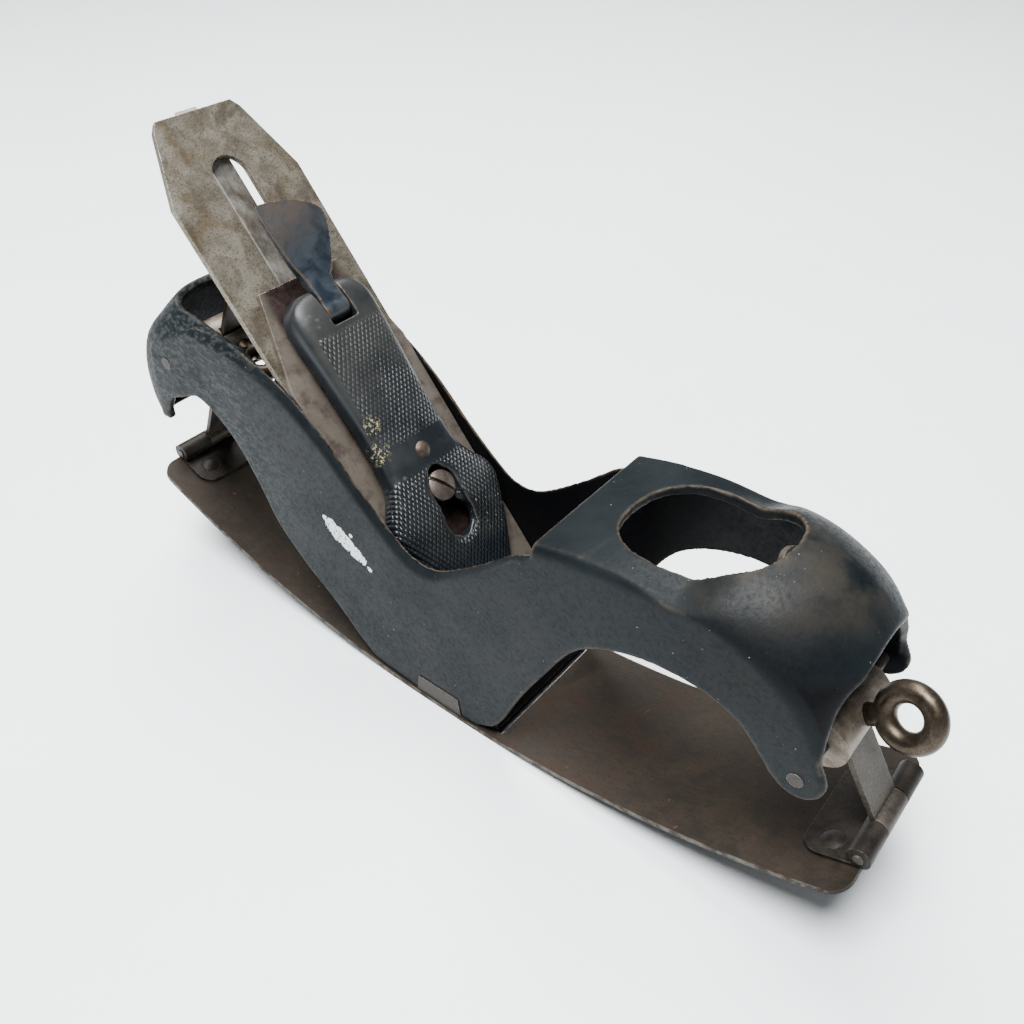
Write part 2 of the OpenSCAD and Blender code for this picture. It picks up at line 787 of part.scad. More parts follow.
module lever_cap_screw() {
    color(brown_steel) on_bed() translate([-screw_at, 0, 0]) difference() {
        union() {
            translate([0, 0, -8]) cylinder(r = 3, h = 8 + screw_head_z[0] + eps);
            intersection() {
                translate([0, 0, screw_head_z[0]]) cylinder(r = screw_head_r, h = 4);
                translate([0, 0, screw_head_z[1] - 9]) sphere(r = 9);
            }
        }
        rotate([0, 0, 35]) translate([-8, -0.6, screw_head_z[1] - 1.6]) cube([16, 1.2, 3]);
    }
}

module lever_cap_spring() {
    t = 0.8;
    line = [[82.5, 7.5], [92, 7.5], [118, 4.2], [129, 3.3], [135.4, 3.3]];
    color(grey_steel) on_bed() difference() {
        bed_profile(concat(line, [for (i = [len(line) - 1 : -1 : 0]) [line[i][0], line[i][1] - t]]), 6);
        translate([-rivet_at, 0, 0]) cylinder(r = 1.5 + close_fit, h = 20);
    }
}

module spring_rivet() {
    color(grey_steel) on_bed() translate([-rivet_at, 0, 0]) {
        translate([0, 0, 6.1]) cylinder(r = 1.5, h = cap_h - 5.8);
        translate([0, 0, 6]) cylinder(r = 2.5, h = 0.68);
        intersection() {
            translate([0, 0, cap_h + eps]) cylinder(r = 2.6, h = 2);
            translate([0, 0, cap_h - 2.2]) sphere(r = 3.5);
        }
    }
}

module cam_lever() {
    hub_r = 3.8;
    color(black_japan) on_bed() difference() {
        union() {
            bed_bar(cam_pivot, hub_r, cam_slot_half_w - 0.35);
            intersection() {
                bed_profile(concat(
                    spline([[cam_pivot[0], cam_pivot[1] + hub_r], [140, 10.6], [148, 10.6], [155, 12], [160, 14], [165, 17.4]]),
                    spline([[165.4, 15.6], [160, 12], [154, 9.6], [147, 8], [140, 7], [135, 5]])
                ), 14);
                bed_plate(spline([[130, 4.1], [142, 4.1], [144.5, 5.4], [148, 9.2], [152, 11.4], [157, 12.2],
                    [162, 10.4], [165.5, 5]], 3), 0, 20);
            }
        }
        bed_bar(cam_pivot, cam_pin_r + run_fit, 6);
        // flat that frees the spring when the lever is open
        translate([-cam_pivot[0] + 3, -6, 0]) cube([4, 12, 20]);
    }
}
module cam_pin() {
    color(grey_steel) on_bed() bed_bar(cam_pivot, cam_pin_r, 12);
}

body_casting();
frog();
frog_screws();
sole_key();
sole_key_rivets();
sole_centre();
sole_front_1();
sole_front_2();
sole_front_3();
sole_rear_1();
sole_rear_2();
sole_rear_3();
toe_hinge_plate();
toe_hinge_pin();
toe_hinge_rivets();
heel_hinge_plate();
heel_hinge_pin();
heel_hinge_rivets();
front_strap();
front_drum();
front_eye_screw();
front_pivot_pins();
rear_strap();
rear_drum();
rear_eye_screw();
rear_pivot_pins();
cutter();
cap_iron();
cap_iron_screw();
adjusting_lever();
adjusting_lever_pin();
lever_cap();
lever_cap_screw();
lever_cap_spring();
spring_rivet();
cam_lever();
cam_pin();
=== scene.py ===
import math

import bmesh
import bpy
import numpy as np
from mathutils import Matrix, Vector


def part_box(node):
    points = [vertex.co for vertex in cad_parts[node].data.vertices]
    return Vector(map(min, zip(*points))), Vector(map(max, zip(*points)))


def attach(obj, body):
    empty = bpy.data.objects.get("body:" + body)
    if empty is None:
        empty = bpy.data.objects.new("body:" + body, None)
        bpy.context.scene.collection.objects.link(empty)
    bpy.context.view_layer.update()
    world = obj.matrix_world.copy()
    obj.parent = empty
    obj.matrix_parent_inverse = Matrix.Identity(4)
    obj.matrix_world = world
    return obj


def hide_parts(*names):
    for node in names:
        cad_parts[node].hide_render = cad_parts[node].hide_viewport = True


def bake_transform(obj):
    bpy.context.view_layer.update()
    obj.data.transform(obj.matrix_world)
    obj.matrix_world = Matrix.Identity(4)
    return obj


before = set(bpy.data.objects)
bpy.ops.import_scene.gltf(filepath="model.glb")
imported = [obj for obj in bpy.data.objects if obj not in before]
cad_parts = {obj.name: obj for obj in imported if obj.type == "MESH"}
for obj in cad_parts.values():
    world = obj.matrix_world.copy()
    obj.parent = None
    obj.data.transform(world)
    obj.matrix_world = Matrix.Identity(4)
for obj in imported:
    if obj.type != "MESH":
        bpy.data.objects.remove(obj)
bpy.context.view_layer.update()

# A compass plane: cast body with a dome in front and a hood behind, a flexible steel sole
# held by straps, and a cutter with its lever cap. Lengths in this script are millimetres
# until a mesh is made. +X is towards the toe, -Y towards the camera and +Z up.

MM = 0.001
HALF_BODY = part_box("sole_key")[1].y / MM
CHEEK_T = 2.4
PROUD = 0.15            # how far pins and the key's ends stand out of the casting
SOLE_HALF_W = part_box("sole_centre")[1].y / MM
SOLE_R = 304.8
SOLE_T = 1.2
FLAT = 0.1              # depth of the flat worn on the lowest line
SOLE_CENTRE_Z = SOLE_R - FLAT
TOE_ARC, HEEL_ARC = 130.0, 136.5
CORNER_R = 6.0
BED_ANGLE = math.radians(50)
MOUTH_X = 21.6          # where the front face of the cutter's bed meets z = 0
MOUTH = (17.6, 21.85, 22.4)     # the sole's opening: rear and front edge, and half width
KEY_GAP = 0.05          # between the key and the casting's notch
SOLE_GAP = 0.02         # between the casting and the sole
FOOT_SETBACK = 6.3      # from the cutter's front face back to the foot
FOOT_HALF_W = 23
WALL_T = 2.6            # hood and dome
HOOD_TOP = 99.6
WORLD_STRENGTH = 0.27
FLOOR_HALF = 4000


# --- Shapes ---

def smooth_line(points, n=8):
    """Catmull-Rom curve through points, with n steps to each span."""
    p = np.array(points, float)
    last = len(p) - 1
    out = []
    for i in range(last):
        a, b, c, d = p[max(i - 1, 0)], p[i], p[i + 1], p[min(i + 2, last)]
        for t in np.arange(n) / n:
            out.append(0.5 * (2 * b + (c - a) * t + (2 * a - 5 * b + 4 * c - d) * t * t
                              + (3 * b - a - 3 * c + d) * t ** 3))
    out.append(p[last])
    return np.array(out)


def along(points):
    """A smooth function of the first coordinate through points."""
    p = smooth_line(points)
    p = p[np.argsort(p[:, 0])]
    return lambda x: np.interp(x, p[:, 0], p[:, 1])


def arc(cx, cy, r, a0, a1, n=8):
    return [(cx + r * math.cos(a), cy + r * math.sin(a))
            for a in np.radians(np.linspace(a0, a1, n + 1))]


def bed(e, y, h):
    """A point from its distance up the cutter, across it, and out of its front face."""
    c, s = math.cos(BED_ANGLE), math.sin(BED_ANGLE)
    return (MOUTH_X - e * c + h * s, y, e * s + h * c)


def mesh_object(name, verts, faces):
    mesh = bpy.data.meshes.new(name)
    mesh.from_pydata([Vector(v) * MM for v in verts], [], [tuple(f) for f in faces])
    bm = bmesh.new()
    bm.from_mesh(mesh)
    bmesh.ops.recalc_face_normals(bm, faces=bm.faces)
    bm.to_mesh(mesh)
    bm.free()
    o = bpy.data.objects.new(name, mesh)
    bpy.context.scene.collection.objects.link(o)
    return o


def rings_object(name, rings, closed=True):
    """A solid skin over rings of points, capped at both ends. Not closed: an open sheet."""
    n, m = len(rings), len(rings[0])
    verts = [p for ring in rings for p in ring]
    faces = []
    for i in range(n - 1):
        for j in range(m if closed else m - 1):
            k = (j + 1) % m
            faces.append((i * m + j, i * m + k, (i + 1) * m + k, (i + 1) * m + j))
    if closed:
        faces.append(range(m - 1, -1, -1))
        faces.append(range((n - 1) * m, n * m))
    return mesh_object(name, verts, faces)


def prism(name, outline, place, low, high):
    """Outline extruded from low to high. place turns (u, v, w) into X, Y and Z."""
    return rings_object(name, [[place(u, v, w) for u, v in outline] for w in (low, high)])


def upright(u, v, w):
    """Outline in X and Z, extruded along Y."""
    return (u, w, v)


def flat(u, v, w):
    """Outline in X and Y, extruded along Z."""
    return (u, v, w)


def on_bed(u, v, w):
    """Outline in distance up the bed and Y, extruded out of the bed."""
    return bed(u, v, w)


def keep_result(o):
    """Turn an object's modifiers into its mesh."""
    graph = bpy.context.evaluated_depsgraph_get()
    mesh = bpy.data.meshes.new_from_object(o.evaluated_get(graph))
    o.modifiers.clear()
    o.data = mesh
    return o


def cut(o, *tools):
    for tool in tools:
        m = o.modifiers.new("cut", "BOOLEAN")
        m.operation = "DIFFERENCE"
        m.solver = "EXACT"
        m.object = tool
    bpy.context.view_layer.update()
    keep_result(o)
    for tool in tools:
        bpy.data.objects.remove(tool)
    return o


def shell_object(name, outer, inner):
    """A closed wall between two grids of points with the same rows and columns."""
    rings = [list(a) + list(b)[::-1] for a, b in zip(outer, inner)]
    n, m, half = len(rings), len(rings[0]), len(outer[0])
    verts = [p for ring in rings for p in ring]
    faces = []
    for i in range(n - 1):
        for j in range(m):
            k = (j + 1) % m
            faces.append((i * m + j, i * m + k, (i + 1) * m + k, (i + 1) * m + j))
    for base in (0, (n - 1) * m):
        for j in range(half - 1):
            faces.append((base + j, base + j + 1, base + m - 2 - j, base + m - 1 - j))
    return mesh_object(name, verts, faces)


def thicken(o, t):
    m = o.modifiers.new("wall", "SOLIDIFY")
    m.thickness = t * MM
    m.offset = -1
    m.use_even_offset = True
    bpy.context.view_layer.update()
    return keep_result(o)


def fuse(name, parts, voxel, rounds):
    """One skin round overlapping solids, its edges worn round."""
    bm = bmesh.new()
    for part in parts:
        bm.from_mesh(part.data)
        bpy.data.objects.remove(part)
    mesh = bpy.data.meshes.new(name)
    bm.to_mesh(mesh)
    bm.free()
    o = bpy.data.objects.new(name, mesh)
    bpy.context.scene.collection.objects.link(o)
    m = o.modifiers.new("skin", "REMESH")
    m.mode = "VOXEL"
    m.voxel_size = voxel * MM * 1
    m.use_smooth_shade = True
    m = o.modifiers.new("wear", "SMOOTH")
    m.factor = 0.5
    m.iterations = rounds
    bpy.context.view_layer.update()
    keep_result(o)
    o.data.polygons.foreach_set("use_smooth", [True] * len(o.data.polygons))
    return o


def finish_piece(o, material, body, slot, *nodes):
    o.data.materials.clear()
    o.data.materials.append(material)
    if body:
        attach(o, body)
    if nodes:
        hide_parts(*nodes)
    return o


# --- Finishes ---

class Finish:
    """A procedural material: a Principled shader and the nodes that feed it."""

    def __init__(self, name):
        self.mat = bpy.data.materials.new(name)
        self.mat.use_nodes = True
        self.tree = self.mat.node_tree
        self.shader = self.tree.nodes["Principled BSDF"]
        self.place = self.node("ShaderNodeTexCoord").outputs["Object"]

    def node(self, kind, inputs=None, **settings):
        n = self.tree.nodes.new(kind)
        for key, value in settings.items():
            setattr(n, key, value)
        for key, value in (inputs or {}).items():
            self.feed(n.inputs[key], value)
        return n

    def feed(self, socket, value):
        if isinstance(value, bpy.types.NodeSocket):
            self.tree.links.new(value, socket)
        elif isinstance(value, (tuple, list)) and len(value) == 3 and socket.type == "RGBA":
            socket.default_value = (*value, 1)
        else:
            socket.default_value = value

    def noise(self, size, detail=3.0, roughness=0.6, distortion=0.0, stretch=None):
        """Noise whose features are about size millimetres, stretched along each axis."""
        place = self.place
        if stretch:
            place = self.node("ShaderNodeVectorMath", {0: place, 1: tuple(1 / k for k in stretch)},
                              operation="MULTIPLY").outputs[0]
        return self.node("ShaderNodeTexNoise", {
            "Vector": place, "Scale": 1 / (size * MM), "Detail": detail,
            "Roughness": roughness, "Distortion": distortion}).outputs["Fac"]

    def ramp(self, fac, low, high, a=0.0, b=1.0):
        """a below low, b above high, and between them a smooth step."""
        return self.node("ShaderNodeMapRange", {
            "Value": fac, "From Min": low, "From Max": high, "To Min": a, "To Max": b},
            interpolation_type="SMOOTHSTEP").outputs["Result"]

    def mix(self, a, b, fac):
        n = self.node("ShaderNodeMix", data_type="RGBA")
        self.feed(n.inputs[0], fac)
        self.feed(n.inputs[6], a)
        self.feed(n.inputs[7], b)
        return n.outputs[2]

    def math(self, op, a, b=0.0, clamp=False):
        return self.node("ShaderNodeMath", {0: a, 1: b}, operation=op, use_clamp=clamp).outputs[0]

    def both(self, *masks):
        out = masks[0]
        for m in masks[1:]:
            out = self.math("MULTIPLY", out, m, True)
        return out

    def near(self, centre, radius, soft=0.6):
        """1 at centre, falling to 0 at radius."""
        d = self.node("ShaderNodeVectorMath", {0: self.place, 1: Vector(centre) * MM},
                      operation="DISTANCE").outputs["Value"]
        return self.ramp(d, radius * soft * MM, radius * MM, 1.0, 0.0)

    def axis(self, name):
        return self.node("ShaderNodeSeparateXYZ", {0: self.place}).outputs[name]

    def bed_frame(self):
        """Distance up the bed, across it, and out of it, in metres."""
        turned = self.node("ShaderNodeVectorRotate", {
            "Vector": self.place, "Center": (MOUTH_X * MM, 0, 0), "Axis": (0, 1, 0),
            "Angle": -BED_ANGLE}, rotation_type="AXIS_ANGLE").outputs[0]
        moved = self.node("ShaderNodeVectorMath", {0: turned, 1: (-MOUTH_X * MM, 0, 0)},
                          operation="ADD").outputs[0]
        xyz = self.node("ShaderNodeSeparateXYZ", {0: moved})
        return self.math("MULTIPLY", xyz.outputs["X"], -1.0), xyz.outputs["Y"], xyz.outputs["Z"]

    def worn_edges(self, low=0.51, high=0.56):
        """1 on the outer edges of a dense mesh."""
        return self.ramp(self.node("ShaderNodeNewGeometry").outputs["Pointiness"], low, high)

    def round_edges(self, radius=0.3):
        """Normals rounded at edges, and a mask of those edges."""
        bevel = self.node("ShaderNodeBevel", {"Radius": radius * MM}, samples=4).outputs[0]
        normal = self.node("ShaderNodeNewGeometry").outputs["Normal"]
        same = self.node("ShaderNodeVectorMath", {0: bevel, 1: normal},
                         operation="DOT_PRODUCT").outputs["Value"]
        return bevel, self.ramp(same, 0.80, 0.995, 1.0, 0.0)

    def bump(self, height, distance, strength=1.0, normal=None):
        inputs = {"Height": height, "Distance": distance * MM, "Strength": strength}
        if normal is not None:
            inputs["Normal"] = normal
        return self.node("ShaderNodeBump", inputs).outputs[0]

    def done(self, colour, rough, normal, metallic=0.0, **constants):
        self.feed(self.shader.inputs["Base Color"], colour)
        self.feed(self.shader.inputs["Roughness"], rough)
        self.feed(self.shader.inputs["Normal"], normal)
        self.feed(self.shader.inputs["Metallic"], metallic)
        for key, value in constants.items():
            self.shader.inputs[key.replace("_", " ")].default_value = value
        return self.mat


# drops in a splash of old paint on the near cheek: X and Z of the centre, and radius
SPLASH = ((-41.2, 51.8, 4.4), (-38.2, 49.6, 5.2), (-35.2, 48.0, 5.0), (-31.8, 46.0, 4.4),
          (-29.2, 44.6, 3.0), (-43.6, 53.4, 1.8), (-26.4, 42.4, 1.6), (-33.0, 52.0, 1.3))


def casting_finish():
    f = Finish("worn_japanning")
    broad = f.noise(22, 4, 0.6)
    pitted = f.noise(1.1, 4, 0.7)
    streaks = f.noise(1.6, 3, 0.6, 0.4, stretch=(1.6, 1.0, 0.8))
    x, y, z = f.axis("X"), f.axis("Y"), f.axis("Z")
    colour = f.mix((0.0022, 0.0037, 0.0047), (0.0052, 0.0073, 0.0084), f.ramp(broad, 0.3, 0.7))
    # rubbed grey where hands hold the heel horn, in short streaks
    horn = f.both(f.ramp(x, -0.052, -0.085), f.ramp(streaks, 0.46, 0.62))
    colour = f.mix(colour, (0.050, 0.055, 0.055), f.math("MULTIPLY", horn, 0.4))
    colour = f.mix(colour, (0.004, 0.005, 0.006), f.ramp(pitted, 0.60, 0.72, 0.0, 0.55))
    # black inside the casting as painted shade, and glossy there
    inner = f.both(f.ramp(f.math("ABSOLUTE", y), 0.0233, 0.0228), f.ramp(z, 0.0835, 0.0800),
                   f.ramp(x, 0.114, 0.108))
    colour = f.mix(colour, (0.0025, 0.0025, 0.003), inner)
    # warm wear on the dome's shoulder and on every outer edge, and painted shade in the hollow of the
    # dome's near flank
    crown = f.both(f.ramp(z, 0.0865, 0.0935), f.ramp(x, 0.055, 0.080), f.ramp(broad, 0.35, 0.58))
    colour = f.mix(colour, (0.030, 0.025, 0.019), f.math("MULTIPLY", crown, 0.5))
    # painted shade: darker in the hollow of the dome's near flank
    painted_flank_shade = f.both(f.near((93, -21, 80), 27, 0.0), f.ramp(broad, 0.3, 0.6, 0.5, 1.0))
    colour = f.mix(colour, (0.0025, 0.0025, 0.003), f.math("MULTIPLY", painted_flank_shade, 0.85))
    edges = f.worn_edges()
    rubbed = f.both(edges, f.ramp(f.noise(5, 3), 0.30, 0.60))
    colour = f.mix(colour, (0.060, 0.045, 0.031), f.math("MULTIPLY", rubbed, 0.8))
    chips = f.both(f.ramp(f.noise(0.9, 2, 0.5), 0.75, 0.78), f.ramp(f.noise(16, 2), 0.45, 0.6))
    colour = f.mix(colour, (0.18, 0.175, 0.16), chips)
    # a splash of old white paint on the near cheek
    blob = 0.0
    for at_x, at_z, radius in SPLASH:
        blob = f.math("MAXIMUM", blob, f.near((at_x, -25.2, at_z), radius, 0.1))
    ragged = f.math("ADD", blob, f.math("MULTIPLY", f.noise(2.2, 4, 0.65, 0.8), 0.9))
    splash = f.both(f.ramp(f.noise(1.0, 3, 0.6), 0.36, 0.43), f.ramp(ragged, 0.82, 0.88),
                    f.ramp(y, -0.0235, -0.0242), f.ramp(blob, 0.0, 0.05))
    colour = f.mix(colour, (0.62, 0.66, 0.68), splash)
    rough = f.math("ADD", f.ramp(broad, 0.3, 0.7, 0.40, 0.54), f.ramp(pitted, 0.4, 0.7, 0.0, 0.16))
    rough = f.math("SUBTRACT", rough, f.math("MULTIPLY", inner, 0.12))
    rough = f.math("SUBTRACT", rough, f.math("MULTIPLY", crown, 0.10))
    grain = f.math("ADD", pitted, f.math("MULTIPLY", f.noise(4.5, 3), 1.2))
    return f.done(colour, rough, f.bump(grain, 0.10, 0.55), Specular_IOR_Level=0.085)


PAINTED_SHADE_EDGE = (11.5, 16.5)      # half widths between which the cap iron turns from the brown of painted shade under the lever cap to tan


def steel_finish(name, dark, light, stain, rough=(0.42, 0.62), metallic=0.75, speck=0.55,
                 speckle=0.35, streak=(1, 1, 1), rust=0.0, edge_at=None,
                 painted_shade_heights=None, edge=(0.30, 0.28, 0.25), rims_outside_painted_shade=None, specular=0.25):
    """Old steel: mottled patina with dark pepper specks, stains and brighter edges.

    edge_at: wear shows only at this half width, not on every edge.
    painted_shade_heights: heights between which painted shade, darkest low down, fades out.
    rims_outside_painted_shade: a colour towards both long sides; the middle between them keeps the darker
    painted shade.
    """
    f = Finish(name)
    mottle = f.noise(9, 5, 0.65, 0.6)
    fine = f.noise(0.55, 3, 0.7)
    grain = f.noise(0.8, 3, 0.6, 0.0, stretch=streak)
    patina = f.math("ADD", mottle, f.math("MULTIPLY", grain, 0.4))
    colour = f.mix(dark, light, f.ramp(patina, 0.45, 0.95))
    colour = f.mix(colour, stain, f.ramp(f.noise(17, 4, 0.6, 0.9), 0.52, 0.68, 0.0, 0.75))
    specks = f.ramp(fine, speck, speck + 0.08, 0.0, speckle)
    colour = f.mix(colour, tuple(0.25 * c for c in dark), specks)
    if rust:
        spots = f.both(f.ramp(f.noise(3.2, 4, 0.7), 0.66, 0.74), f.ramp(f.noise(30, 2), 0.45, 0.6))
        colour = f.mix(colour, (0.14, 0.055, 0.022), f.math("MULTIPLY", spots, rust))
    # painted shade under the lever cap: the middle stays dark and brown, and this colour comes in towards
    # both long sides
    if rims_outside_painted_shade:
        outer = f.ramp(f.math("ABSOLUTE", f.axis("Y")), PAINTED_SHADE_EDGE[0] * MM, PAINTED_SHADE_EDGE[1] * MM)
        ragged = f.ramp(f.noise(6, 4, 0.65), 0.30, 0.55, 0.35, 1.0)
        colour = f.mix(colour, rims_outside_painted_shade, f.both(outer, ragged, 0.8))
    if edge_at:
        normal = None
        worn = f.ramp(f.math("ABSOLUTE", f.axis("Y")), (edge_at - 0.5) * MM, (edge_at - 0.1) * MM)
    else:
        normal, worn = f.round_edges()
    # painted shade: darker low down, fading out between the two given heights
    if painted_shade_heights:
        painted_low_shade = f.ramp(f.axis("Z"), painted_shade_heights[0] * MM, painted_shade_heights[1] * MM, 0.95, 0.0)
        colour = f.mix(colour, (0.004, 0.004, 0.004), painted_low_shade)
    colour = f.mix(colour, edge, f.both(worn, f.ramp(grain, 0.35, 0.6), 0.7))
    roughness = f.math("ADD", f.ramp(mottle, 0.3, 0.7, *rough), f.math("MULTIPLY", specks, 0.2))
    height = f.math("ADD", fine, f.math("MULTIPLY", f.noise(3, 3), 1.5))
    return f.done(colour, roughness, f.bump(height, 0.035, 0.6, normal), metallic,
                  Specular_IOR_Level=specular)


def lever_cap_finish():
    f = Finish("lever_cap_black")
    e, y, h = f.bed_frame()
    broad = f.noise(14, 4, 0.6)
    fine = f.noise(0.8, 3, 0.65)
    colour = f.mix((0.005, 0.0065, 0.008), (0.012, 0.0135, 0.0145), f.ramp(broad, 0.35, 0.65))
    # rubbed grey on the upper end; on the sides a painted sheen, tinted glossy blue-black
    top = f.both(f.ramp(e, 0.088, 0.122), f.ramp(h, 0.0088, 0.0098))
    colour = f.mix(colour, (0.014, 0.014, 0.0137), f.both(top, f.ramp(broad, 0.3, 0.55, 0.35, 1.0)))
    # painted sheen: the sides tinted blue-black
    side = f.ramp(h, 0.0082, 0.0068)
    colour = f.mix(colour, (0.003, 0.0055, 0.009), f.math("MULTIPLY", side, 0.8))
    edges = f.both(f.worn_edges(0.505, 0.55), f.ramp(f.noise(3, 3), 0.35, 0.6))
    colour = f.mix(colour, (0.055, 0.048, 0.042), f.math("MULTIPLY", edges, 0.6))
    flakes = f.math("MAXIMUM", f.near(bed(91.5, -12.3, 8), 4.6, 0.3),
                    f.near(bed(99.5, -10.5, 10), 3.6, 0.3))
    residue = f.both(flakes, f.ramp(f.noise(1.1, 4, 0.7, 0.6), 0.55, 0.58))
    colour = f.mix(colour, (0.30, 0.26, 0.13), residue)
    crumbs = f.both(f.near(bed(60, 12, 9), 10, 0.3), f.ramp(f.noise(0.8, 3, 0.7), 0.64, 0.67))
    colour = f.mix(colour, (0.28, 0.27, 0.22), crumbs)
    # rows of small pyramids, diagonal to the cap, worn away in the middle of the upper part
    pitch = 2 * math.pi / (1.55 * MM)
    rise = f.math("ADD", f.math("MULTIPLY", e, 0.62), y)
    fall = f.math("SUBTRACT", f.math("MULTIPLY", e, 0.62), y)
    waves = [f.math("SINE", f.math("MULTIPLY", d, pitch * 0.5)) for d in (rise, fall)]
    points = f.math("MULTIPLY", f.math("ABSOLUTE", waves[0]), f.math("ABSOLUTE", waves[1]))
    points = f.math("POWER", points, 0.7)
    wide = f.ramp(e, 0.0825, 0.0790)
    round_key = f.near(bed(63.5, 0, 10), 7.4, 0.93)
    wide = f.math("SUBTRACT", wide, round_key, True)
    wide = f.math("SUBTRACT", wide, f.near(bed(74, 0, 10), 7.0, 0.93), True)
    upper = f.both(f.ramp(e, 0.0900, 0.0915), f.ramp(e, 0.1270, 0.1255),
                   f.ramp(f.math("ABSOLUTE", y), 0.0120, 0.0112))
    worn = f.ramp(f.noise(9, 3), 0.35, 0.62, 0.9, 0.35)
    chequer = f.both(f.math("ADD", wide, f.math("MULTIPLY", upper, worn), True), f.ramp(h, 0.0040, 0.0052))
    height = f.math("MULTIPLY", points, chequer)
    # painted shade: darker in the grooves between the pyramids
    colour = f.mix(colour, (0.0015, 0.002, 0.0025),
                   f.both(chequer, f.ramp(points, 0.32, 0.10), 0.7))
    normal = f.bump(height, 0.42, 1.0)
    normal = f.bump(f.math("ADD", fine, f.math("MULTIPLY", f.noise(5, 3), 0.8)), 0.05, 0.5, normal)
    rough = f.math("ADD", f.ramp(broad, 0.3, 0.7, 0.26, 0.42), f.math("MULTIPLY", top, 0.12))
    return f.done(colour, rough, normal, Specular_IOR_Level=0.3)


def cam_finish():
    f = Finish("cam_black")
    broad = f.noise(8, 4, 0.6, 0.5)
    fine = f.noise(0.7, 3, 0.65)
    colour = f.mix((0.006, 0.010, 0.015), (0.024, 0.030, 0.036), f.ramp(broad, 0.35, 0.65))
    edges = f.worn_edges(0.50, 0.535)
    tip = f.near(bed(163, -4, 18), 16, 0.2)
    worn = f.math("MAXIMUM", edges, f.math("MULTIPLY", tip, f.ramp(broad, 0.35, 0.52)))
    colour = f.mix(colour, (0.050, 0.033, 0.023), f.both(worn, f.ramp(f.noise(2.5, 3), 0.3, 0.55)))
    colour = f.mix(colour, (0.002, 0.0025, 0.003), f.ramp(fine, 0.62, 0.70, 0.0, 0.5))
    rough = f.ramp(broad, 0.3, 0.7, 0.28, 0.45)
    return f.done(colour, rough, f.bump(fine, 0.05, 0.5), Specular_IOR_Level=0.3)


def floor_finish():
    f = Finish("pale_floor")
    tint = f.mix((0.77, 0.80, 0.815), (0.80, 0.825, 0.84), f.ramp(f.noise(140, 4), 0.35, 0.65))
    specks = f.both(f.ramp(f.noise(2.2, 2, 0.5), 0.80, 0.83), f.ramp(f.noise(60, 2), 0.5, 0.6))
    tint = f.mix(tint, (0.45, 0.42, 0.38), f.math("MULTIPLY", specks, 0.35))
    return f.done(tint, 0.6, f.bump(f.noise(1.5, 3), 0.05, 0.15))


JAPAN = casting_finish()
LEVER_BLACK = lever_cap_finish()
CAM_BLACK = cam_finish()
FROG_BLACK = steel_finish(
    "frog_black", (0.002, 0.002, 0.0025), (0.006, 0.006, 0.007), (0.004, 0.003, 0.003),
    (0.35, 0.5), 0.0, edge=(0.02, 0.015, 0.012))
SOLE_STEEL = steel_finish(
    "sole_steel", (0.0085, 0.0062, 0.0043), (0.020, 0.0142, 0.0095), (0.018, 0.0095, 0.0056),
    (0.55, 0.70), 0.1, specular=0.16, speck=0.57, speckle=0.5, streak=(4, 1, 4), rust=0.5,
    edge_at=SOLE_HALF_W, edge=(0.10, 0.09, 0.075))
STRAP_STEEL = steel_finish(
    "strap_steel", (0.034, 0.028, 0.023), (0.090, 0.078, 0.066), (0.035, 0.026, 0.020),
    (0.42, 0.58), 0.7, rust=0.4, edge=(0.2, 0.18, 0.16))
HINGE_STEEL = steel_finish(
    "hinge_steel", (0.008, 0.0066, 0.0055), (0.026, 0.021, 0.017), (0.012, 0.0075, 0.0055),
    (0.45, 0.62), 0.5, rust=0.6, edge=(0.16, 0.14, 0.12))
GREY_STEEL = steel_finish(
    "grey_steel", (0.10, 0.09, 0.078), (0.25, 0.235, 0.21), (0.09, 0.07, 0.052),
    (0.36, 0.50), 0.8, streak=(3, 1, 3))
KEY_STEEL = steel_finish(
    "key_steel", (0.016, 0.013, 0.0105), (0.042, 0.036, 0.030), (0.018, 0.013, 0.010),
    (0.45, 0.6), 0.5)
# the cutter's lower part is darkened with painted shade
CUTTER_STEEL = steel_finish(
    "cutter_steel", (0.115, 0.097, 0.070), (0.215, 0.195, 0.160), (0.105, 0.075, 0.040),
    (0.36, 0.50), 0.8, speck=0.53, speckle=0.75, streak=(1, 2, 1), painted_shade_heights=(8, 30))
# cap iron: painted shade in the middle under the lever cap and low down, tan towards both long sides
CAP_IRON_STEEL = steel_finish(
    "cap_iron_steel", (0.018, 0.010, 0.0095), (0.058, 0.041, 0.036), (0.012, 0.0055, 0.0058),
    (0.34, 0.50), 0.6, rims_outside_painted_shade=(0.15, 0.13, 0.105), speck=0.54, speckle=0.6, streak=(1, 2, 1),
    painted_shade_heights=(8, 30))
DRUM_IRON = steel_finish(
    "drum_iron", (0.10, 0.082, 0.062), (0.22, 0.19, 0.155), (0.05, 0.036, 0.025),
    (0.45, 0.60), 0.55, streak=(1, 4, 1))
EYE_STEEL = steel_finish(
    "eye_steel", (0.028, 0.020, 0.014), (0.080, 0.064, 0.047), (0.035, 0.025, 0.017),
    (0.30, 0.44), 0.85, streak=(1, 3, 1))
SCREW_STEEL = steel_finish(
    "screw_steel", (0.045, 0.033, 0.028), (0.13, 0.105, 0.09), (0.035, 0.021, 0.016),
    (0.38, 0.52), 0.75)


# --- Casting ---

crease_line = [(-118, 84.5), (-111.5, 88.8), (-99.7, 94.3), (-89.6, 96.2), (-72, 94.4), (-56, 89.2),
               (-41.6, 79.4), (-27.6, 66), (-13.3, 54.3), (-5.8, 52), (1.8, 54.1), (16.5, 65.6),
               (29.7, 78), (41.7, 83.4), (63.8, 86.6), (79, 87.6), (89, 85.4), (99.4, 79.6), (107.9, 71)]
crease = along(crease_line)
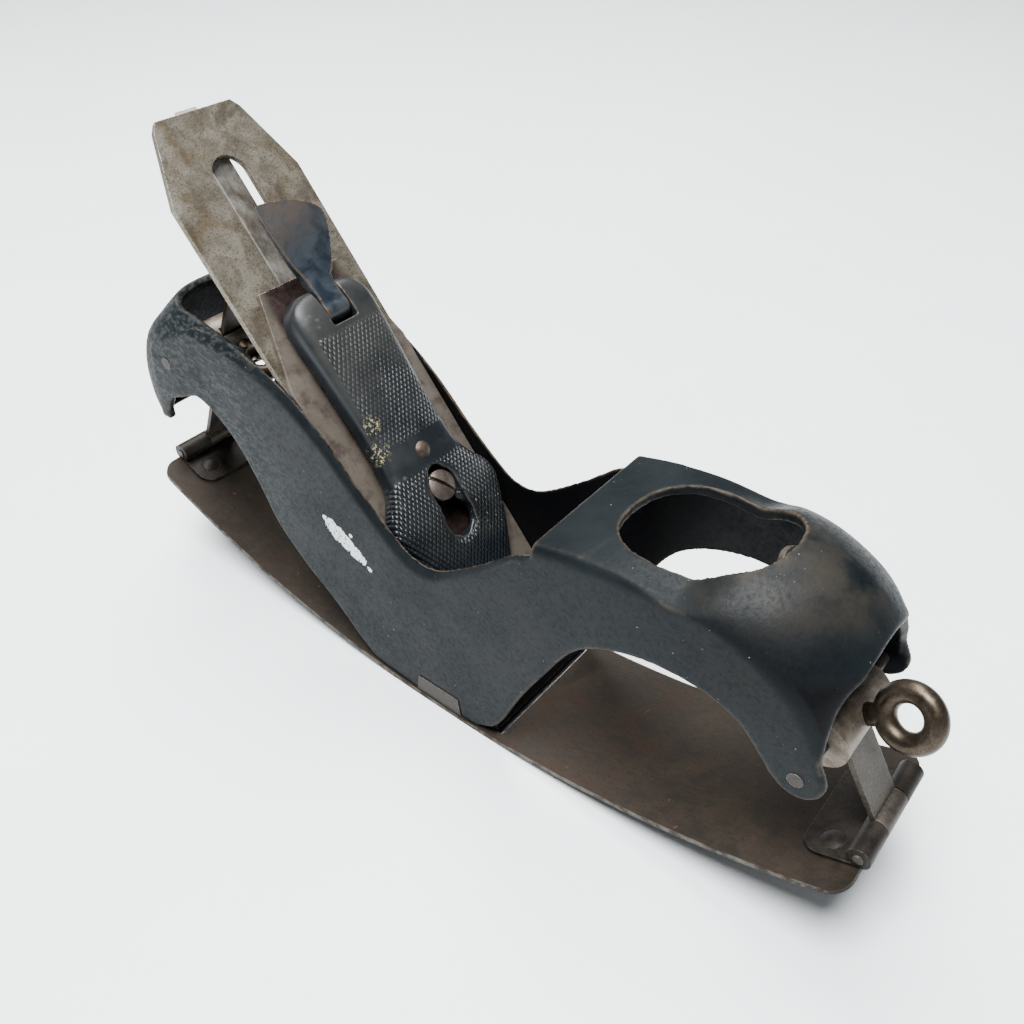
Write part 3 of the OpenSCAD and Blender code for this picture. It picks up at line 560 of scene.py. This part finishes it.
# how far the cheek's inner top edge stands above its outer crease
rim_lift = along([(-118, 0), (-100, 1.5), (-88, 3), (-40, 3), (-10, 3.2), (16, 2.6), (28, 1.5),
                  (36, 0), (108, 0)])
front_arch = smooth_line([(101.6, 53.6), (97.6, 58.4), (92, 64.0), (84, 67.2), (74, 67.8), (64, 66.2),
                          (54, 62.0), (46, 55.0), (38, 41.2), (30, 26), (23.4, 11), (19.5, 5.2)], 5)
rear_arch = smooth_line([(-29, 3), (-35, 8), (-46, 18.6), (-58, 28), (-68, 39), (-73.5, 50), (-80, 61),
                         (-87, 68.4), (-96, 73.2), (-104, 73)], 5)
horn_notch = smooth_line([(-104, 73), (-110, 69.8), (-114, 65.4), (-117.4, 59.6), (-121, 57)], 4)
KEY_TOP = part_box("sole_key")[1].z / MM + KEY_GAP
KEY_X = (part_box("sole_key")[0].x / MM - KEY_GAP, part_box("sole_key")[1].x / MM + KEY_GAP)
KEY_TAPER = 1.2
FOOT_X = (-23, 13)
FOOT_TOP = 13


def on_sole(x):
    """Height of the sole's upper face."""
    r = SOLE_R - SOLE_T
    return SOLE_CENTRE_Z - math.sqrt(r * r - x * x) + SOLE_GAP


def key_notch():
    return [(KEY_X[1], on_sole(KEY_X[1])), (KEY_X[1] - KEY_TAPER, KEY_TOP),
            (KEY_X[0] + KEY_TAPER, KEY_TOP), (KEY_X[0], on_sole(KEY_X[0]))]


def cheek(side):
    xs = np.linspace(-118, 107.9, 90)
    rest = (arc(107.7, 57.4, 6.7, 15, -140, 12) + [tuple(p) for p in front_arch]
            + [(FOOT_X[1], on_sole(FOOT_X[1]))] + key_notch() + [(FOOT_X[0], on_sole(FOOT_X[0]))]
            + [tuple(p) for p in rear_arch] + [tuple(p) for p in horn_notch[1:]])
    outer = [(x, crease(x)) for x in xs] + rest
    inner = [(x, crease(x) + rim_lift(x)) for x in xs] + rest
    y0, y1 = side * (HALF_BODY - PROUD), side * (HALF_BODY - CHEEK_T)
    ring = [[(u, y0, v) for u, v in outer], [(u, y1, v) for u, v in inner]]
    return rings_object("cheek", ring)


def dome():
    """The dome's skin from the crease on one cheek over the crown to the other."""
    crown = smooth_line([(32.5, 84), (46, 87.4), (60, 92.4), (74, 96.8), (86, 98.6), (96, 97.4),
                         (104, 93.8), (110, 89.4), (112.9, 86.4)], 6)
    edge = smooth_line([(32.5, 81), (41.7, 83.8), (56, 86), (68, 87), (79, 87.4), (89, 85.2),
                        (99.4, 79.6), (106.4, 72.6), (112, 62)], 6)
    n = 52
    crown = crown[np.linspace(0, len(crown) - 1, n).round().astype(int)]
    edge = edge[np.linspace(0, len(edge) - 1, n).round().astype(int)]
    fullness = along([(32, 1.0), (72, 1.0), (79, 0.7), (84, 0.42), (92, 0.34), (113, 0.28)])
    width = HALF_BODY - PROUD
    rows = []
    for i in range(n):
        u = i / (n - 1)
        rear = max(0, 1 - u / 0.4)
        row = []
        for v in np.concatenate([[0, 0.03], np.linspace(0.07, 1, 24)]):
            swell = (v * v * (3 - 2 * v)) ** fullness(crown[i][0])
            swell = swell * (1 - rear) + min(1, v / 0.07) ** 0.6 * rear
            pinch = 1.5 * u ** 8 * math.sin(math.pi * min(1, v / 0.5))
            x = edge[i][0] + (crown[i][0] - edge[i][0]) * min(1, v * 1.3) - pinch
            z = edge[i][1] + (crown[i][1] - edge[i][1]) * swell
            row.append((x, -width * (1 - v), z))
        rows.append(row + [(x, -y, z) for x, y, z in row[-2::-1]])
    inside = (width - WALL_T) / width
    inner = [[(x - 0.6 * i / n, y * inside, z - 2.8) for x, y, z in row] for i, row in enumerate(rows)]
    skin = shell_object("dome", rows, inner)
    rim = [(45.8, 0), (46.8, 6.5), (50, 11.6), (55.5, 15.2), (61, 16.2), (67, 16.3), (73.5, 15.4),
           (79, 13.6), (83.5, 11.2), (86.8, 6.6), (88, 0)]
    half = [tuple(q) for q in smooth_line(rim, 4)]
    hole = half + [(x, -y) for x, y in half[-2:0:-1]]
    return cut(skin, prism("hole", hole, flat, 60, 120))


def hood():
    """The hood round the heel: a wall that leans in towards its U-shaped top opening."""
    centre_x = -98
    reach = along([(57, 25.5), (60, 28.4), (63, 29.8), (73, 31), (84, 29.4), (90, 26.4), (94, 23.8),
                   (98, 21), (HOOD_TOP, 19.4)])
    half = along([(57, HALF_BODY - PROUD), (86, HALF_BODY - PROUD), (91, 24), (95, 22.3), (98, 20.6),
                  (HOOD_TOP, 19.6)])
    square = along([(57, 9), (73, 7.5), (85, 5), (93, 3.2), (HOOD_TOP, 2.5)])
    lower = along([(-131, 57), (-121, 57), (-117.4, 59.6), (-114, 65.4), (-110, 69.8), (-104, 73),
                   (-96, 74)])
    rows = []
    for x in (-68, -74, -80, -86, -92):
        z1 = crease(x) + 3 + (99.2 - crease(x) - 3) * max(0, (-x - 72) / 26)
        z0 = crease(x) - 6
        lean = max(0, (-x - 68) / 30)
        rows.append([(x, -(HALF_BODY - PROUD) + (1.2 + 4.1 * lean) * t ** 2.2, z0 + (z1 - z0) * t)
                     for t in np.linspace(0, 1, 14)])
    for a in np.radians(np.linspace(-90, 90, 49)):
        s, c = abs(math.sin(a)), math.cos(a)
        x_low = centre_x - reach(73) * c ** (2 / 7.5)
        z0 = float(lower(x_low))
        row = []
        for t in np.linspace(0, 1, 14):
            z = z0 + (HOOD_TOP - z0) * t
            k = 2 / square(z)
            row.append((centre_x - reach(z) * c ** k, math.copysign(half(z) * s ** k, a), z))
        rows.append(row)
    rows += [[(x, -y, z) for x, y, z in row] for row in rows[4::-1]]
    return thicken(rings_object("hood", rows, closed=False), WALL_T)


def foot():
    back = -FOOT_SETBACK / math.sin(BED_ANGLE)
    slope = FOOT_TOP / math.tan(BED_ANGLE)
    front = MOUTH_X + back
    outline = ([(FOOT_X[0], FOOT_TOP), (front - slope, FOOT_TOP), (front - 1.2, on_sole(front))]
               + key_notch() + [(FOOT_X[0], on_sole(FOOT_X[0]))])
    return prism("foot", outline, upright, -FOOT_HALF_W, FOOT_HALF_W)


casting = fuse("casting", [cheek(-1), cheek(1), dome(), hood(), foot()], 0.58, 6)
finish_piece(casting, JAPAN, "body", "japanning", "body_casting")


# --- Sole: one thin strip in pieces ---

def sole_point(s, r):
    a = s / SOLE_R
    return r * math.sin(a), SOLE_CENTRE_Z - r * math.cos(a)


def sole_half_width(s):
    end = TOE_ARC if s > 0 else HEEL_ARC
    into_corner = abs(s) - (end - CORNER_R)
    if into_corner <= 0:
        return SOLE_HALF_W
    return SOLE_HALF_W - CORNER_R + math.sqrt(max(0, CORNER_R ** 2 - into_corner ** 2))


def sole_strip(name, s0, s1, mouth=None):
    stops = set(np.linspace(s0, s1, max(2, int((s1 - s0) / 1.5))))
    for end in (TOE_ARC, -HEEL_ARC):
        if s0 <= end <= s1:
            inward = -math.copysign(1, end)
            turns = np.linspace(0, math.pi / 2, 9)
            stops |= {end + inward * CORNER_R * (1 - math.cos(a)) for a in turns}
    if mouth:
        stops = {s for s in stops if not mouth[0] - 0.4 < s < mouth[1] + 0.4} | set(mouth)
    rows = []
    for s in sorted(stops):
        w = sole_half_width(s)
        inner = min(mouth[2], w) if mouth else w * 0.9
        ys = [-w, -inner] + list(np.linspace(-inner, inner, 10)[1:-1]) + [inner, w]
        x1, z1 = sole_point(s, SOLE_R - SOLE_T)
        x0, z0 = sole_point(s, SOLE_R - 0.04)
        rows.append([(x1, y, z1) for y in ys] + [(x0, y, max(z0, 0.04)) for y in reversed(ys)])
    o = rings_object(name, rows)
    if mouth:
        bm = bmesh.new()
        bm.from_mesh(o.data)
        inside = [f for f in bm.faces
                  if mouth[0] < f.calc_center_median().x / MM < mouth[1]
                  and abs(f.calc_center_median().y / MM) < mouth[2]]
        bmesh.ops.delete(bm, geom=inside, context="FACES")
        bmesh.ops.holes_fill(bm, edges=[e for e in bm.edges if e.is_boundary], sides=4)
        bm.to_mesh(o.data)
        bm.free()
    o.data.polygons.foreach_set("use_smooth", [False] * len(o.data.polygons))
    return o


def strip(name, s0, s1, node, between=None, mouth=None):
    o = sole_strip(name, s0, s1, mouth)
    finish_piece(o, SOLE_STEEL, None if between else "body", "brown_steel", node)
    if between:
        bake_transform(o)
    return o


strip("sole_middle", -33.5, 27, "sole_centre", mouth=MOUTH)
strip("sole_toe_a", 27, 55, "sole_front_1", ("body", "sole_front_1"))
strip("sole_toe_b", 55, 93, "sole_front_2", ("sole_front_1", "sole_front_2"))
strip("sole_toe_c", 93, TOE_ARC, "sole_front_3", ("sole_front_2", "sole_front_3"))
strip("sole_heel_a", -61, -33.5, "sole_rear_1", ("body", "sole_rear_1"))
strip("sole_heel_b", -98, -61, "sole_rear_2", ("sole_rear_1", "sole_rear_2"))
strip("sole_heel_c", -HEEL_ARC, -98, "sole_rear_3", ("sole_rear_2", "sole_rear_3"))


# --- Lever cap and cam lever ---

cap_half_width = along([(38, 9), (40, 12), (47, 14.7), (54, 17.4), (64, 21), (68.5, 21.8), (73, 20.6),
                        (78, 16.8), (83, 14.4), (92, 13.6), (106, 13.7), (124, 14.4), (133, 14.6),
                        (137.5, 12.8), (140, 9)])
cap_crown = along([(38, 4.0), (44, 5.4), (50, 6.9), (56, 8.2), (64, 9.7), (72, 10.4), (84, 10.6),
                   (95, 10.9), (110, 11.4), (124, 11.6), (132, 11.4), (138, 10.2), (140, 8.6)])
cap_under = along([(38, 2.1), (45, 2.1), (60, 3.4), (140, 3.4)])


def lever_cap():
    rings = []
    stations = [np.linspace(38, 66, 15), np.linspace(68, 134, 34), np.linspace(135, 140, 9)]
    for e in np.concatenate(stations):
        w, top, low = cap_half_width(e), cap_crown(e), cap_under(e)
        ring = []
        for a in np.radians(np.linspace(0, 180, 33)):
            c, s = math.cos(a), math.sin(a)
            ring.append(bed(e, math.copysign(w * abs(c) ** 0.42, c), low + (top - low) * s ** 0.5))
        ring += [bed(e, y, low) for y in (-w * 0.5, 0, w * 0.5)]
        rings.append(ring)
    o = rings_object("lever_cap", rings)
    hollow = [(58, -11), (66, -17), (72, -16.6), (80, -12), (92, -11), (132, -11.8), (136, -9),
              (136, 9), (132, 11.8), (92, 11), (80, 12), (72, 16.6), (66, 17), (58, 11)]
    slot = arc(60.5, 0, 3.3, 90, 270, 8) + arc(77.3, 0, 3.3, -90, 90, 8)
    seat = arc(60.5, 0, 5.2, 90, 270, 10) + arc(74.2, 0, 5.2, -90, 90, 10)
    cam_slot = [(128.3, -4.5), (150, -4.5), (150, 4.5), (128.3, 4.5)]
    cut(o, prism("hollow", hollow, on_bed, -1, 6.2), prism("slot", slot, on_bed, -1, 20))
    cut(o, prism("seat", seat, on_bed, 7.9, 20),
        prism("key", arc(63.5, 0, 5.6, 0, 345, 23), on_bed, -1, 20))
    cut(o, prism("cam", cam_slot, on_bed, -1, 20))
    return fuse("lever_cap_body", [o], 0.38, 3)


def cam_lever():
    pivot = (133, 7.4)
    left = along([(131, -4.1), (142, -4.1), (147, -5.4), (153, -7.7), (158, -10.2),
                  (161.5, -12.2), (164, -12.7)])
    right = along([(131, 4.1), (140.6, 4.2), (143, 6.0), (146, 7.9), (150, 9.2), (154, 9.7), (157.5, 9.0),
                   (160, 6.6), (162, 2.4), (163.3, -3), (164, -8)])
    top = along([(131, 10.6), (136, 10.9), (141, 10.3), (147, 10.5), (152, 12.0), (157, 14.4),
                 (161, 17.0), (164, 19.2)])
    thick = along([(131, 4.4), (140, 3.6), (148, 2.6), (158, 2.0), (162, 1.7), (164, 1.3)])
    dish = along([(131, 0), (144, 0), (150, 1.0), (158, 1.8), (164, 1.4)])
    rings = []
    for e in np.linspace(131, 164, 37):
        ys = np.linspace(left(e), right(e), 15)
        lift = [dish(e) * (y / (12.0 if y < 0 else 9.5)) ** 2 for y in ys]
        rings.append([bed(e, y, top(e) + k) for y, k in zip(ys, lift)]
                     + [bed(e, y, top(e) + k - thick(e)) for y, k in zip(ys[::-1], lift[::-1])])
    blade = rings_object("blade", rings)
    hub = prism("hub", arc(*pivot, 3.75, 0, 345, 23), lambda u, v, w: bed(u, w, v), -4.15, 4.15)
    return fuse("cam_lever_body", [blade, hub], 0.34, 3)


finish_piece(lever_cap(), LEVER_BLACK, "lever_cap", "black_japan", "lever_cap")
finish_piece(cam_lever(), CAM_BLACK, "cam_lever", "black_japan", "cam_lever")


# --- Finishes of the CAD nodes that stay ---

node_finish = {
    "frog": FROG_BLACK, "frog_screws": GREY_STEEL, "sole_key": KEY_STEEL, "sole_key_rivets": KEY_STEEL,
    "toe_hinge_plate": HINGE_STEEL, "heel_hinge_plate": HINGE_STEEL,
    "toe_hinge_pin": STRAP_STEEL, "heel_hinge_pin": STRAP_STEEL,
    "toe_hinge_rivets": HINGE_STEEL, "heel_hinge_rivets": HINGE_STEEL,
    "front_strap": STRAP_STEEL, "rear_strap": STRAP_STEEL, "front_drum": DRUM_IRON, "rear_drum": DRUM_IRON,
    "front_eye_screw": EYE_STEEL, "rear_eye_screw": EYE_STEEL,
    "front_pivot_pins": KEY_STEEL, "rear_pivot_pins": KEY_STEEL,
    "cutter": CUTTER_STEEL, "cap_iron": CAP_IRON_STEEL, "cap_iron_screw": GREY_STEEL,
    "adjusting_lever": GREY_STEEL, "adjusting_lever_pin": GREY_STEEL,
    "lever_cap_screw": SCREW_STEEL, "lever_cap_spring": GREY_STEEL, "spring_rivet": SCREW_STEEL,
    "cam_pin": GREY_STEEL,
}
for name, material in node_finish.items():
    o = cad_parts[name]
    o.data.materials.clear()
    o.data.materials.append(material)


# --- Floor, light and camera ---

corners = [(x * FLOOR_HALF, y * FLOOR_HALF, 0) for x, y in ((-1, -1), (1, -1), (1, 1), (-1, 1))]
floor = mesh_object("floor", corners, [(0, 1, 2, 3)])
floor.data.materials.append(floor_finish())


def softbox(name, place, target, size, power, colour):
    lamp = bpy.data.lights.new(name, "AREA")
    lamp.shape = "DISK"
    lamp.size = size
    lamp.energy = power
    lamp.color = colour
    o = bpy.data.objects.new(name, lamp)
    o.location = place
    o.rotation_euler = (Vector(target) - Vector(place)).to_track_quat("-Z", "Y").to_euler()
    bpy.context.scene.collection.objects.link(o)


world = bpy.data.worlds.new("studio")
world.use_nodes = True
world.node_tree.nodes["Background"].inputs["Color"].default_value = (0.92, 0.96, 1.0, 1)
world.node_tree.nodes["Background"].inputs["Strength"].default_value = WORLD_STRENGTH
bpy.context.scene.world = world
softbox("window", (-0.5, 0.45, 1.3), (0, 0, 0.05), 0.9, 38, (1.0, 0.99, 0.97))
softbox("fill", (0.0, -0.35, 1.35), (0, -0.15, 0), 0.8, 75, (0.97, 0.99, 1.0))

camera_data = bpy.data.cameras.new("camera")
camera_data.lens = 35.206
camera_data.sensor_width = 36
camera_data.clip_start = 0.01
camera = bpy.data.objects.new("camera", camera_data)
elevation, azimuth, roll = math.radians(39.36), math.radians(38.88), math.radians(0.11)
back = Vector((math.sin(azimuth) * math.cos(elevation), -math.cos(azimuth) * math.cos(elevation),
               math.sin(elevation)))
camera.location = (0.14284, -0.16773, 0.24273)
camera.rotation_mode = "QUATERNION"
tilt = Matrix.Rotation(-roll, 3, "Z").to_quaternion()
camera.rotation_quaternion = (-back).to_track_quat("-Z", "Y") @ tilt
bpy.context.scene.collection.objects.link(camera)
bpy.context.scene.camera = camera
